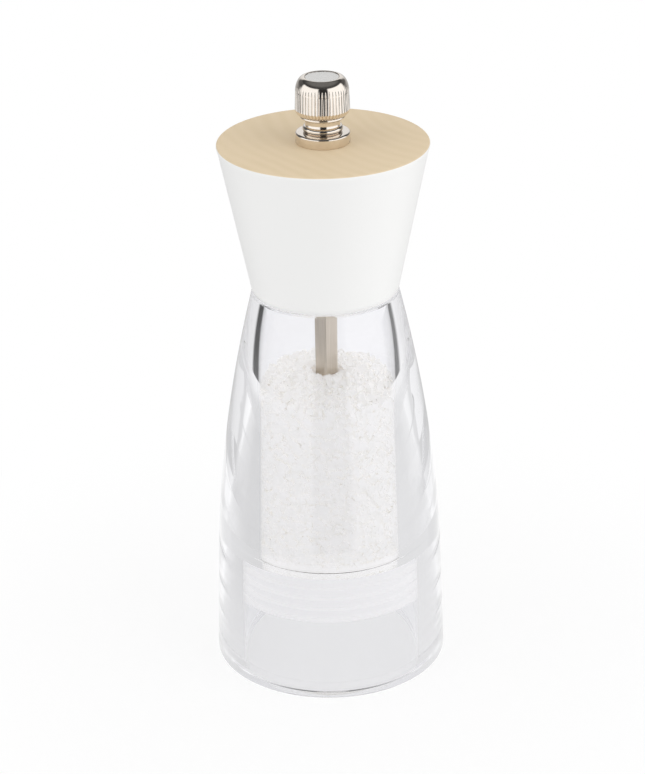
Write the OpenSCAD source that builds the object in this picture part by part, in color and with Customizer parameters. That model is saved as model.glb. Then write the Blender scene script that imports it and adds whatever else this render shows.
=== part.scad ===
// Salt mill with a thick clear body, a turned wooden head, a knurled adjusting knob and a ceramic burr set.
// The origin is the centre of the foot on the table, and +Z runs up along the shaft.
// Turning the head turns the square shaft and the burr cone. Turning the knob draws the shaft up or lets
// it down, which sets the grind. The head lifts off the shaft for filling.

/* [Clear body] */
// Diameter across the foot
foot_d = 55; // [52:0.5:60]
// Height from the table to the shoulder under the head
body_h = 93; // [88:1:115]
// Diameter of the shoulder, and of the lower end of the head
shoulder_d = 33.7; // [33.2:0.1:36]
// Radius lost per millimetre of height just above the foot
foot_draft = 0.034; // [0.02:0.005:0.05]
// Height at which the outside starts to curve in
belly_z = 24; // [15:1:30]
// Rounding of the outer edge of the foot
foot_edge_r = 0.8; // [0.4:0.1:1.5]
// Chamfer where the foot bore meets the table
bore_lead = 0.5; // [0.2:0.1:1]
// Height of the ceiling of that bore
foot_bore_h = 29.5; // [28:0.5:34]
// Diameter of the chamber where it meets the ceiling
chamber_d = 34; // [33:0.2:35]
// Radius lost per millimetre of height in the lower chamber
chamber_draft = 0.01; // [0.005:0.001:0.02]
// Height at which the chamber starts to narrow
chamber_z = 68; // [50:1:75]
// Inner diameter of the neck
mouth_d = 26.4; // [25:0.1:26.8]
// Outer diameter of the neck, which stands inside the head
neck_d = 29; // [28.4:0.1:29.6]
// Height of the neck above the shoulder
neck_h = 5.5; // [4:0.5:8]
// Chamfer round the rim of the neck
neck_edge = 0.4; // [0.2:0.1:0.6]

/* [Salt] */
// Height of the salt at the chamber wall
salt_level = 69.5; // [40:0.5:80]
// Rise of the salt from the wall to the shaft
salt_heap = 1.8; // [0:0.1:3]
// Gap left round the salt
salt_gap = 0.15; // [0.1:0.05:0.3]
// Size of the salt crystals that stand out of the heap
crystal_w = 2.6; // [2:0.1:3]
// How far their corners stand out
crystal_rise = 0.6; // [0.3:0.05:0.8]
// Distance from one such crystal to the next
crystal_pitch = 6.4; // [5.5:0.1:8]

/* [Head] */
// Height of the wooden head
head_h = 35; // [30:0.5:45]
// Diameter of its flat top
head_top_d = 47.8; // [44:0.2:54]
// Rounding of its upper edge
head_edge_r = 0.5; // [0.2:0.1:1]
// Chamfer round its lower edge
head_low_edge = 0.3; // [0.2:0.1:0.5]
// Diameter of the hole that the shaft runs in
head_hole_d = 6.4; // [6.2:0.1:8]
// Thickness of the nylon slip ring on the neck
slip_ring_t = 0.8; // [0.6:0.1:1.2]
// Diameter of the steel drive plate
drive_plate_d = 24; // [22:0.2:25]
// Thickness of the drive plate
drive_plate_t = 1.2; // [0.8:0.1:2]
// Distance between the two drive plate screws
plate_screw_span = 16.4; // [15:0.2:17]
// Length of those screws in the wood
plate_screw_l = 8; // [6:0.5:12]
// Diameter of their shanks
plate_screw_d = 2.5; // [2:0.1:3]
// Diameter of their heads
plate_screw_head_d = 4.6; // [4:0.1:5.2]
// Height of their heads
plate_screw_head_h = 1.1; // [0.9:0.1:1.5]

/* [Shaft] */
// Width across the flats of the square shaft
shaft_w = 4; // [3.8:0.05:4.1]
// Bevel along its four edges
shaft_bevel = 0.35; // [0.2:0.05:0.5]
// Angle that the square stands at, with the head at rest
shaft_angle = 39; // [0:1:89]
// Diameter of the thread at its top
thread_d = 4; // [3.6:0.1:4]
// Length of that thread
thread_l = 20; // [14:1:24]
// Length of thread inside the knob
thread_in_knob = 9.5; // [8:0.5:10]
// Diameter of the round stub at its lower end
stub_d = 3.2; // [3:0.1:3.5]
// Diameter at the bottom of the clip groove
stub_groove_d = 2.4; // [2:0.1:2.6]
// Length of stub below the clip
stub_end_l = 0.7; // [0.5:0.1:1.5]
// Diameter of the washer under the cone burr
end_washer_d = 9; // [8:0.5:12]
// Thickness of that washer
end_washer_t = 0.8; // [0.5:0.1:1.2]
// Diameter of the clip that holds it
end_clip_d = 6.4; // [5.5:0.1:7.5]
// Thickness of that clip
end_clip_t = 0.6; // [0.4:0.1:0.8]

/* [Knob] */
// Height of the knob
knob_h = 15.1; // [14.6:0.1:17]
// Diameter of the knurled barrel
knob_d = 12.26; // [11.8:0.02:13]
// Height of the barrel, from the waist to the top
barrel_h = 9.4; // [9:0.1:10]
// Height of its rounded lower end
barrel_foot_h = 3.2; // [2.4:0.1:4]
// Height of its rounded upper end
barrel_crown_h = 3.4; // [2.4:0.1:4]
// Diameter of the flange on the wood
flange_d = 12.3; // [11.5:0.1:15]
// Height of the flange
flange_h = 2.5; // [2:0.1:2.8]
// Diameter of the waist between flange and barrel
waist_d = 7.74; // [7.4:0.02:8.4]
// Rounding of the bead at the foot of the waist
bead_r = 0.72; // [0.5:0.02:0.8]
// Diameter of the flat on top
knob_top_d = 8.24; // [7.8:0.02:8.6]
// Number of knurl grooves
knurl_count = 48; // [36:1:50]
// Depth of the knurl at the widest part of the barrel
knurl_depth = 0.36; // [0.25:0.01:0.4]
// Diameter of the marker disc in the top
disc_d = 7.5; // [6.8:0.1:7.6]
// Depth of the recess that holds the disc
disc_recess = 0.4; // [0.3:0.1:0.8]
// Depth of the disc's face below the rim
disc_sink = 0.12; // [0.05:0.01:0.2]

/* [Burr set] */
// Outer diameter of the housing
housing_d = 40.4; // [39.8:0.1:41]
// Radial room for the seal between the housing and the bore of the foot
seal_room = 1.3; // [1:0.05:1.8]
// Width of the rim round the spider's seat
housing_rim_w = 1.5; // [1.2:0.1:2]
// Thickness of the housing's outer skin
housing_skin_t = 1.2; // [1:0.1:1.5]
// Number of webs between its skin and its core
housing_webs = 12; // [6:1:18]
// Thickness of the ledge over the ring burr
ledge_t = 1.5; // [1:0.1:2]
// Inner diameter of that ledge
ledge_d = 27.6; // [26.4:0.1:28]
// Outer diameter of the ring burr
ring_burr_d = 30; // [29.4:0.1:30.6]
// Height of the ring burr
ring_burr_h = 7; // [6.6:0.1:8]
// Diameter of its funnel at the top
funnel_d = 25.2; // [24:0.1:26]
// Height of its fine zone
fine_h = 2.1; // [1.8:0.1:2.6]
// Widest diameter of the cone burr
cone_burr_d = 19.6; // [18.6:0.1:20.4]
// Height of the cone burr
cone_burr_h = 4.8; // [4.6:0.1:5.4]
// Diameter of its top
cone_top_d = 12.8; // [12:0.1:13.2]
// Depth of its foot below the ring burr
cone_drop = 1.2; // [1:0.1:1.6]
// Radial gap between the burrs at rest
grind_gap = 0.6; // [0.55:0.05:0.9]
// Number of grooves in the cone burr
cone_grooves = 12; // [8:1:13]
// Number of grooves in the ring burr
ring_grooves = 18; // [12:1:20]
// Width across the flats of the hexagonal hub
hub_w = 8.4; // [8.2:0.1:8.6]
// Diameter of the foot of the hub
hub_foot_d = 13; // [12.4:0.1:14]
// Height of the foot of the hub
hub_foot_h = 1.2; // [1:0.1:1.4]
// Thickness of the bearing spider
spider_t = 1.8; // [1.5:0.1:2.5]
// Width of its rim
spider_rim_w = 1.8; // [1.4:0.1:2.4]
// Width of its arms
arm_w = 3.2; // [2.6:0.1:4]
// Diameter of its central boss
boss_d = 11.2; // [10.8:0.1:12]
// Height of the boss above the spider
boss_h = 1.6; // [1.2:0.1:3]
// Depth of the boss below the spider
boss_skirt = 0.6; // [0:0.1:1]
// Thickness of the boss over the spring
boss_top_t = 1.7; // [1.4:0.1:2]
// Thickness of the retaining ring
retainer_t = 1.5; // [1.2:0.1:2.5]
// Inner diameter of the retaining ring
retainer_hole_d = 25; // [24:0.1:26]
// Height of the lip that snaps into the housing
retainer_lip_h = 1.1; // [0.8:0.1:1.5]
// Thickness of that lip
retainer_lip_t = 1.2; // [1:0.1:1.4]
// Number of keys on the ring burr
key_count = 3; // [2:1:4]
// Width of the keys
key_w = 4; // [3:0.2:6]
// Height of the keys
key_h = 1.1; // [0.8:0.1:1.2]
// Length of the keys
key_l = 5; // [3:0.1:5]
// Outer diameter of the spring
spring_d = 8.2; // [8.1:0.05:8.4]
// Diameter of the spring wire
spring_wire_d = 0.8; // [0.6:0.05:0.85]
// Thickness of the washer between spring and cone burr
thrust_t = 0.6; // [0.4:0.1:0.8]
// Number of fins on the seal
seal_fins = 4; // [3:1:5]
// Thickness of the seal's sleeve
seal_t = 0.35; // [0.3:0.05:0.4]

/* [Fits] */
// Radial room round a part that turns
turn_fit = 0.12; // [0.08:0.01:0.14]
// Radial room round a part that is pushed home
push_fit = 0.05; // [0.03:0.01:0.08]
// Radial room between the neck and the head
neck_fit = 0.3; // [0.2:0.05:0.5]
// Gap between the shoulder and the head
head_gap = 0.3; // [0.2:0.05:0.5]

/* [Hidden] */
$fn = 96;
eps = 0.01;

// The head and what it carries
neck_top = body_h + neck_h;
recess_top = neck_top + slip_ring_t;
head_z = body_h + head_gap;
head_top = head_z + head_h;

// The shaft and its lower end
shaft_tip = head_top + thread_in_knob;
shaft_turn_d = 2 * (norm([shaft_w / 2, shaft_w / 2 - shaft_bevel]) + turn_fit);
stub_l = end_washer_t + end_clip_t + stub_end_l;

// The burr set, which hangs from the ceiling of the foot bore
foot_bore_d = housing_d + 2 * seal_room;
ceiling = foot_bore_h;
spider_z = ceiling - spider_t;
spider_d = housing_d - 2 * housing_rim_w;
ring_burr_top = spider_z - ledge_t;
ring_burr_z = ring_burr_top - ring_burr_h;
retainer_z = ring_burr_z - retainer_t;
burr_seat_d = ring_burr_d + 2 * push_fit;
lip_seat_d = burr_seat_d + 2 * (retainer_lip_t + push_fit);
cone_slope = tan(30);
cone_edge_h = 0.6;
cone_z = ring_burr_z - cone_drop;
cone_top = cone_z + cone_burr_h;
boss_z = spider_z - boss_skirt;
boss_top = ceiling + boss_h;
pocket_top = boss_top - boss_top_t;
spring_z = cone_top + thrust_t;

// The heap of salt, at the wall and round the shaft
salt_edge_r = chamber_r(salt_level) - salt_gap;
salt_hole_r = shaft_turn_d / 2 + salt_gap;

// Points along an ellipse about (x, y), from one angle to another
function bow(x, y, rx, ry, from, to, n = 6) =
    [for (i = [0:n]) let (a = from + (to - from) * i / n) [x + rx * cos(a), y + ry * sin(a)]];

// Radius at height z of a wall that leans in by draft, and curves in above start to reach end_r at end_z
function leaning_r(z, base_r, draft, start, end_r, end_z) =
    let (curve = (base_r - draft * end_z - end_r) / pow(end_z - start, 2))
    base_r - draft * z - curve * pow(max(z - start, 0), 2);

function body_r(z) = leaning_r(z, foot_d / 2, foot_draft, belly_z, shoulder_d / 2, body_h);
function chamber_r(z) = leaning_r(z - ceiling, chamber_d / 2, chamber_draft, chamber_z - ceiling,
                                  mouth_d / 2, body_h - ceiling);

// Radius of the cone burr at height z in its fine zone
function cone_r(z) = cone_burr_d / 2 - (z - cone_z - cone_edge_h) * cone_slope;

module tube(outer_d, inner_d, h, z = 0) {
    translate([0, 0, z]) difference() {
        cylinder(d = outer_d, h = h);
        translate([0, 0, -1]) cylinder(d = inner_d, h = h + 2);
    }
}

module around(count, start = 0) {
    for (i = [0:count - 1]) rotate(start + 360 / count * i) children();
}

// Square bar or hole with bevelled edges, at the angle that the shaft rests at
module square_bar(w, bevel, h) {
    s = w / 2;
    c = s - bevel;
    rotate(shaft_angle) linear_extrude(h)
        polygon([[s, -c], [s, c], [c, s], [-c, s], [-s, c], [-s, -c], [-c, -s], [c, -s]]);
}

// A thick wall, open at both ends: a wide bore in the foot, the chamber above it, and a neck for the head
module clear_body() {
    wall_steps = 24;
    chamber_steps = 14;
    outside = [for (i = [1:wall_steps]) let (z = body_h * i / wall_steps) [body_r(z), z]];
    inside = [for (i = [chamber_steps:-1:0])
              let (z = ceiling + (body_h - ceiling) * i / chamber_steps) [chamber_r(z), z]];
    color([0.93, 0.96, 1, 0.35]) rotate_extrude() polygon(concat(
        [[foot_bore_d / 2 + bore_lead, 0]],
        bow(foot_d / 2 - foot_edge_r, foot_edge_r, foot_edge_r, foot_edge_r, -90, 0, 5),
        outside,
        [[neck_d / 2, body_h], [neck_d / 2, neck_top - neck_edge], [neck_d / 2 - neck_edge, neck_top],
         [mouth_d / 2, neck_top]],
        inside,
        [[foot_bore_d / 2, ceiling], [foot_bore_d / 2, bore_lead]]));
}

// Height of the heap of salt at radius r, from the chamber wall up to the hole for the shaft
function heap_z(r) = let (t = (salt_edge_r - r) / (salt_edge_r - salt_hole_r))
    salt_level + salt_heap * (1 - cos(180 * t)) / 2;

// Salt crystals on a ring of radius r, each a cube with one corner out at height z: upwards for the top of
// the heap, and away from the axis for its side
module crystal_ring(r, z, lean, first) {
    count = floor(2 * PI * r / crystal_pitch);
    corner_reach = crystal_w * sqrt(3) / 2;
    corner_up = [45, atan(sqrt(0.5)), 0];
    turn_step = 137;
    for (i = [0:count - 1]) rotate((i + first) * 360 / count)
        translate([r, 0, z]) rotate([0, lean, 0]) translate([0, 0, -corner_reach])
            rotate((i + first) * turn_step) rotate(corner_up) cube(crystal_w, center = true);
}

// Coarse salt, heaped a little round the shaft, with the larger crystals standing out of it
module salt_fill() {
    wall_steps = 2;
    heap_steps = 4;
    boss_hole_r = boss_d / 2 + salt_gap;
    bend_z = min(chamber_z, salt_level - crystal_w);
    core_r = salt_edge_r - crystal_rise;
    wall = [for (i = [0:wall_steps]) let (z = bend_z + (salt_level - crystal_rise - bend_z) * i / wall_steps)
            [chamber_r(z) - salt_gap - crystal_rise, z]];
    heap = [for (i = [1:heap_steps]) let (r = core_r + (salt_hole_r - core_r) * i / heap_steps)
            [r, heap_z(r) - crystal_rise]];
    side_low = ceiling + crystal_w;
    side_high = salt_level - crystal_w;
    rows = max(1, round((side_high - side_low) / crystal_pitch));
    top_r = core_r - crystal_w;
    inner_r = max(top_r - crystal_pitch, salt_hole_r + crystal_w);
    color("#efefec") {
        rotate_extrude() polygon(concat(
            [[boss_hole_r, ceiling], [chamber_r(ceiling) - salt_gap - crystal_rise, ceiling]],
            wall, heap,
            [[salt_hole_r, boss_top + salt_gap], [boss_hole_r, boss_top + salt_gap]]));
        for (k = [0:rows]) let (z = side_low + (side_high - side_low) * k / rows)
            crystal_ring(chamber_r(z) - salt_gap, z, 90, 0.3 + 0.4 * (k % 2));
        for (r = [inner_r, top_r]) crystal_ring(r, heap_z(r), 0, 0.5);
    }
}

// Soft sleeve between housing and bore: a collar under the ceiling, and fins that grip the wall
module ribbed_seal() {
    collar_h = 1;
    fin_t = 0.6;
    inner_r = housing_d / 2 + push_fit / 2;
    fin_r = foot_bore_d / 2 - push_fit / 2;
    seal_h = ceiling - retainer_z;
    pitch = (seal_h - collar_h) / seal_fins;
    color("#e9ecec") rotate_extrude() union() {
        translate([inner_r, retainer_z]) square([seal_t, seal_h]);
        translate([inner_r, ceiling - collar_h]) square([fin_r - inner_r, collar_h]);
        for (i = [0:seal_fins - 1]) let (z = retainer_z + pitch * i)
            polygon([[inner_r + seal_t / 2, z], [fin_r, z + fin_t], [fin_r, z + 1.5 * fin_t],
                     [inner_r + seal_t / 2, z + 2 * fin_t]]);
    }
}

// Moulded carrier: a seat for the spider on top, a ledge over the ring burr, three keyways, a rebate for
// the retaining ring, and webs between a thin skin and the core
module burr_housing() {
    core_d = lip_seat_d + 2 * housing_skin_t;
    web_t = 1;
    color("#e4e8e8") {
        difference() {
            translate([0, 0, ring_burr_z]) cylinder(d = housing_d, h = ceiling - ring_burr_z);
            translate([0, 0, spider_z]) cylinder(d = spider_d + 2 * push_fit, h = spider_t + 1);
            translate([0, 0, ring_burr_z - 1]) cylinder(d = burr_seat_d, h = ring_burr_h + 1);
            translate([0, 0, ring_burr_top - eps]) cylinder(d = ledge_d, h = ledge_t + 1);
            translate([0, 0, ring_burr_z - 1]) cylinder(d = lip_seat_d, h = retainer_lip_h + 1);
            around(key_count) translate([ring_burr_d / 2 - 1, -key_w / 2 - push_fit, ring_burr_z - 1])
                cube([1 + key_h + push_fit, key_w + 2 * push_fit, 1 + retainer_lip_h + key_l + push_fit]);
            difference() {
                tube(housing_d - 2 * housing_skin_t, core_d, ring_burr_h + 1, ring_burr_z - 1);
                around(housing_webs, 180 / housing_webs)
                    translate([core_d / 2 - 1, -web_t / 2, ring_burr_z])
                    cube([(housing_d - core_d) / 2 + 1, web_t, ring_burr_h + 1]);
            }
        }
    }
}

// Three arms carry the boss that the shaft turns in and that the spring pushes on
module bearing_spider() {
    arm_count = 3;
    arm_start = 30;
    ring_r = spider_d / 2 - spider_rim_w;
    color("#f0f0ee") difference() {
        union() {
            tube(spider_d, 2 * ring_r, spider_t, spider_z);
            around(arm_count, arm_start) translate([0, -arm_w / 2, spider_z])
                cube([ring_r + spider_rim_w / 2, arm_w, spider_t]);
            translate([0, 0, boss_z]) cylinder(d = boss_d, h = boss_top - boss_z);
        }
        translate([0, 0, boss_z - 1]) cylinder(d = spring_d + 4 * turn_fit, h = pocket_top - boss_z + 1);
        translate([0, 0, boss_z - 1]) cylinder(d = shaft_turn_d, h = boss_top - boss_z + 2);
    }
}

// A four-sided cutter whose edge points at the axis. It lies along the line from (r1, z1) to (r2, z2)
// and leans round the axis by lead degrees, to cut a V groove of the given depth
module groove_cutter(r1, z1, r2, z2, depth, lead) {
    lean = atan2(r2 - r1, z2 - z1);
    side = 1.2;
    translate([(r1 + r2) / 2, 0, (z1 + z2) / 2]) rotate([lead, 0, 0]) rotate([0, lean, 0])
        translate([side - depth, 0, 0])
            cylinder(r = side, h = 2 * norm([r2 - r1, z2 - z1]), $fn = 4, center = true);
}

// Ceramic ring: a funnel that breaks the crystals above, and a fine grinding zone below
module ring_burr() {
    break_depth = 0.7;
    break_lead = 12;
    fine_depth = 0.35;
    fine_lead = 18;
    waist_z = ring_burr_z + fine_h;
    foot_r = cone_r(ring_burr_z) + grind_gap;
    waist_r = cone_r(waist_z) + grind_gap;
    color("#fbfaf5") difference() {
        union() {
            rotate_extrude() polygon([[foot_r, ring_burr_z], [ring_burr_d / 2, ring_burr_z],
                [ring_burr_d / 2, ring_burr_top], [funnel_d / 2, ring_burr_top], [waist_r, waist_z]]);
            around(key_count) translate([ring_burr_d / 2 - 1, -key_w / 2, ring_burr_z + retainer_lip_h])
                cube([1 + key_h, key_w, key_l]);
        }
        around(ring_grooves) rotate([0, 0, 180])
            groove_cutter(-waist_r, waist_z, -funnel_d / 2, ring_burr_top, break_depth, break_lead);
        around(ring_grooves, 180 / ring_grooves) rotate([0, 0, 180])
            groove_cutter(-foot_r, ring_burr_z, -waist_r, waist_z, fine_depth, fine_lead);
    }
}

// Ring that closes the housing from below and carries the ring burr on its snap-in lip
module retaining_ring() {
    color("#e4e8e8") {
        tube(housing_d, retainer_hole_d, retainer_t, retainer_z);
        tube(lip_seat_d - 2 * push_fit, burr_seat_d, retainer_lip_h, ring_burr_z);
    }
}

// Compression spring with closed ends, as one swept tube
module spring() {
    sides = 8;
    steps = 14;
    turns = 5;
    wire_r = spring_wire_d / 2;
    coil_r = spring_d / 2 - wire_r;
    low = spring_z + wire_r;
    travel = pocket_top - wire_r - low;
    pitch = (travel - 2 * spring_wire_d) / (turns - 2);
    function rise(turn) = turn < 1 ? spring_wire_d * turn
        : turn > turns - 1 ? travel - spring_wire_d * (turns - turn)
        : spring_wire_d + pitch * (turn - 1);
    points = [for (i = [0:turns * steps]) let (a = 360 * i / steps, z = low + rise(i / steps))
              for (k = [0:sides - 1]) let (b = 360 * k / sides, r = coil_r + wire_r * cos(b))
              [r * cos(a), r * sin(a), z + wire_r * sin(b)]];
    skin = [for (i = [0:turns * steps - 1], k = [0:sides - 1]) let (n = (k + 1) % sides)
            [i * sides + k, (i + 1) * sides + k, (i + 1) * sides + n, i * sides + n]];
    ends = [[for (k = [0:sides - 1]) k], [for (k = [sides - 1:-1:0]) turns * steps * sides + k]];
    color("#c9ccd0") polyhedron(points, concat(skin, ends));
}

module thrust_washer() {
    overhang = 0.3;
    color("#d6d8da") tube(spring_d + 2 * overhang, shaft_turn_d, thrust_t, cone_top);
}

// Square bar, threaded at the top, with a grooved round stub at the bottom
module shaft() {
    square_top = shaft_tip - thread_l;
    tip_edge = 0.4;
    color("#b9b4ab") difference() {
        union() {
            translate([0, 0, cone_z]) square_bar(shaft_w, shaft_bevel, square_top - cone_z);
            translate([0, 0, square_top - eps]) cylinder(d = thread_d, h = thread_l - tip_edge + eps);
            translate([0, 0, shaft_tip - tip_edge])
                cylinder(d1 = thread_d, d2 = thread_d - 2 * tip_edge, h = tip_edge);
            translate([0, 0, cone_z - stub_l]) cylinder(d = stub_d, h = stub_l + eps);
        }
        tube(stub_d + 1, stub_groove_d, end_clip_t, cone_z - end_washer_t - end_clip_t);
    }
}

// Plastic core of the cone burr: a hexagon outside, a square hole for the shaft, and a foot
module burr_hub() {
    color("#d9dcdc") difference() {
        union() {
            translate([0, 0, cone_z])
                cylinder(d = (hub_w - 2 * push_fit) / cos(30), h = cone_burr_h, $fn = 6);
            translate([0, 0, cone_z]) cylinder(d = hub_foot_d - 2 * push_fit, h = hub_foot_h);
        }
        translate([0, 0, cone_z - 1]) square_bar(shaft_w + 2 * push_fit, shaft_bevel, cone_burr_h + 2);
    }
}

// Ceramic cone with slanting grooves
module cone_burr() {
    groove_depth = 0.6;
    groove_lead = -22;
    edge_r = cone_burr_d / 2;
    foot_edge = 0.5;
    fine_top = cone_z + cone_edge_h + fine_h;
    top_r = cone_top_d / 2;
    color("#fbfaf5") difference() {
        rotate_extrude() polygon([[0, cone_z], [edge_r - foot_edge, cone_z], [edge_r, cone_z + cone_edge_h],
            [cone_r(fine_top), fine_top], [top_r, cone_top], [0, cone_top]]);
        translate([0, 0, cone_z - 1]) cylinder(d = hub_w / cos(30), h = cone_burr_h + 2, $fn = 6);
        translate([0, 0, cone_z - 1]) cylinder(d = hub_foot_d, h = hub_foot_h + 1);
        around(cone_grooves) groove_cutter(edge_r, cone_z, top_r, cone_top, groove_depth, groove_lead);
    }
}

module end_washer() {
    color("#d6d8da") tube(end_washer_d, stub_d + 2 * push_fit, end_washer_t, cone_z - end_washer_t);
}

// Spring-steel clip, open on one side
module end_clip() {
    clip_z = cone_z - end_washer_t - end_clip_t;
    mouth_grip = 0.4;
    mouth_w = stub_groove_d - mouth_grip;
    color("#8f9296") difference() {
        tube(end_clip_d, stub_groove_d + 2 * push_fit, end_clip_t, clip_z);
        translate([0, -mouth_w / 2, clip_z - 1]) cube([end_clip_d, mouth_w, end_clip_t + 2]);
    }
}

// Thin nylon ring on the rim of the neck, which the head turns on
module slip_ring() {
    inset = 0.1;
    color("#f4f4f2") tube(neck_d - 2 * neck_edge - 2 * inset, mouth_d + 2 * inset, slip_ring_t, neck_top);
}

// Turned beech: a cone, wider at the top, with a recess for the neck and a pocket for the drive plate
module head() {
    top_r = head_top_d / 2;
    low_r = shoulder_d / 2;
    flare = (top_r - low_r) / head_h;
    color("#f2f2f0") difference() {
        rotate_extrude() polygon(concat(
            [[0, head_z], [low_r - head_low_edge, head_z],
             [low_r + head_low_edge * flare, head_z + head_low_edge]],
            bow(top_r - head_edge_r, head_top - head_edge_r, head_edge_r, head_edge_r, 0, 90, 4),
            [[0, head_top]]));
        translate([0, 0, head_z - 1]) cylinder(d = neck_d + 2 * neck_fit, h = recess_top - head_z + 1);
        translate([0, 0, recess_top - eps])
            cylinder(d = drive_plate_d + 2 * push_fit, h = drive_plate_t + eps);
        translate([0, 0, head_z]) cylinder(d = head_hole_d, h = head_h + 1);
        for (x = [-1, 1]) translate([x * plate_screw_span / 2, 0, recess_top])
            cylinder(d = plate_screw_d, h = plate_screw_l + 0.5);
    }
}

// Steel plate with the square hole that turns the shaft
module drive_plate() {
    color("#c4c6c9") difference() {
        translate([0, 0, recess_top]) cylinder(d = drive_plate_d, h = drive_plate_t);
        translate([0, 0, recess_top - 1]) square_bar(shaft_w + 2 * turn_fit, shaft_bevel, drive_plate_t + 2);
        for (x = [-1, 1]) translate([x * plate_screw_span / 2, 0, recess_top - 1])
            cylinder(d = plate_screw_d + 2 * push_fit, h = drive_plate_t + 2);
    }
}

// Two pan-head wood screws with a cross recess
module plate_screws() {
    tip_h = 2;
    slot_w = 0.6;
    slot_h = 0.6;
    shank_d = plate_screw_d - 2 * push_fit;
    head_base = recess_top - plate_screw_head_h;
    color("#d6c9a0") for (x = [-1, 1]) translate([x * plate_screw_span / 2, 0, 0]) difference() {
        union() {
            translate([0, 0, head_base])
                cylinder(d1 = plate_screw_head_d - 1, d2 = plate_screw_head_d, h = plate_screw_head_h);
            translate([0, 0, recess_top - eps]) cylinder(d = shank_d, h = plate_screw_l - tip_h + eps);
            translate([0, 0, recess_top + plate_screw_l - tip_h]) cylinder(d1 = shank_d, d2 = 0.4, h = tip_h);
        }
        for (a = [0, 90]) translate([0, 0, head_base]) rotate(a)
            cube([plate_screw_head_d - 2, slot_w, 2 * slot_h], center = true);
    }
}

// Outline of the knob above its seat: flange, bead, waist, and a barrel with rounded ends
function knob_outline() =
    let (seat_edge = 0.15, flange_edge = 0.45, bead_step = 0.1, bead_sink = 0.05, lip_w = 0.6,
         lip_edge = 0.1, lip_slope = 0.05, flange_r = flange_d / 2, waist_r = waist_d / 2,
         barrel_r = knob_d / 2, top_r = knob_top_d / 2, lip_r = waist_r + lip_w,
         lip_z = knob_h - barrel_h, crown_z = knob_h - barrel_crown_h)
    concat([[flange_r - seat_edge, 0], [flange_r, seat_edge]],
           bow(flange_r - flange_edge, flange_h - flange_edge, flange_edge, flange_edge, 0, 90, 3),
           bow(waist_r - bead_sink, flange_h + bead_step + bead_r, bead_r, bead_r, -75, 85, 5),
           [[waist_r, lip_z - lip_slope - lip_edge], [lip_r - lip_edge, lip_z - lip_slope]],
           bow(lip_r, lip_z + barrel_foot_h, barrel_r - lip_r, barrel_foot_h, -90, 0, 5),
           bow(top_r, crown_z, barrel_r - top_r, barrel_crown_h, 0, 90, 7));

// Nickel-plated nut with a straight knurl, a threaded blind hole and a recess for the marker disc
module knob() {
    bore_h = thread_in_knob + 1.6;
    cutter_r = 0.7;
    knurl_start = 0.3;
    knurl_end = 1;
    color("#cfc8bf") translate([0, 0, head_top]) difference() {
        rotate_extrude() polygon(concat([[0, 0]], knob_outline(), [[0, knob_h]]));
        translate([0, 0, -1]) cylinder(d = thread_d + 2 * push_fit, h = bore_h + 1);
        translate([0, 0, knob_h - disc_recess]) cylinder(d = disc_d + 2 * push_fit, h = disc_recess + 1);
        around(knurl_count)
            translate([knob_d / 2 - knurl_depth + cutter_r, 0, knob_h - barrel_h + knurl_start])
            cylinder(r = cutter_r, h = barrel_h - knurl_start - knurl_end, $fn = 4);
    }
}

module knob_disc() {
    color("#e2e1de") translate([0, 0, head_top + knob_h - disc_recess])
        cylinder(d = disc_d, h = disc_recess - disc_sink);
}

clear_body();
salt_fill();
ribbed_seal();
burr_housing();
bearing_spider();
ring_burr();
retaining_ring();
spring();
thrust_washer();
shaft();
burr_hub();
cone_burr();
end_washer();
end_clip();
slip_ring();
head();
drive_plate();
plate_screws();
knob();
knob_disc();
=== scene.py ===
# %% [markdown]
# # A salt mill in clear acrylic, painted beech and nickel
# A hand mill is a stack of turned and moulded parts on one upright axis: a thick clear body full of
# salt, a wooden head that turns the burrs, and a small knurled knob that sets how fine they grind.
# Nearly every part is round, turned on a lathe or cast in a round mould, so most of this lesson is about
# one idea: draw half of an outline, and carry it round the axis. The hard part is not the shapes but the
# acrylic, which shows nothing of its own and borrows every light and dark line from what stands round it.

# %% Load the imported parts
import bpy
import math
import numpy as np
from mathutils import Matrix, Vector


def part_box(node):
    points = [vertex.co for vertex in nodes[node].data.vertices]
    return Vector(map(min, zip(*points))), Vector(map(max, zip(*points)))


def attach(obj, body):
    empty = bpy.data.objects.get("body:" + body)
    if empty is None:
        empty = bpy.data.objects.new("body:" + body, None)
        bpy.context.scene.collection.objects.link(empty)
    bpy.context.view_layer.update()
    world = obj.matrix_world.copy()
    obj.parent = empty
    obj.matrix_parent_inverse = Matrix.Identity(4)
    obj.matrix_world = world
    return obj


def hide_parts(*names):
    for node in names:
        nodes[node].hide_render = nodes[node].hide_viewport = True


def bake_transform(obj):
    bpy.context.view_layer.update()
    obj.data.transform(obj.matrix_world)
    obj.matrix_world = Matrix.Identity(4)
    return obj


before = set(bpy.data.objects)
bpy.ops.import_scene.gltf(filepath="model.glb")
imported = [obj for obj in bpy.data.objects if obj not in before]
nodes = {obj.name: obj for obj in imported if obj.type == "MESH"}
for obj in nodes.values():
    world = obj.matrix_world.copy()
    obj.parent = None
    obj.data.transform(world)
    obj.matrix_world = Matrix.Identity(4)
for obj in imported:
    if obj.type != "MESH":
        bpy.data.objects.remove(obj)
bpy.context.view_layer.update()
print("parts:", ", ".join(sorted(nodes)))

# %% [markdown]
# ## Measuring instead of guessing
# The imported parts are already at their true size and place. A new surface should land exactly on them,
# so its sizes are read from their meshes. On a turned part every point is fully described by two
# numbers, its distance from the axis and its height, and most questions come down to the smallest and
# largest distance within a band of heights. The chamber begins where the grinder's housing ends.

# %% Read radii and heights from a part
MM = 0.001
HAIR = 0.01


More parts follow.
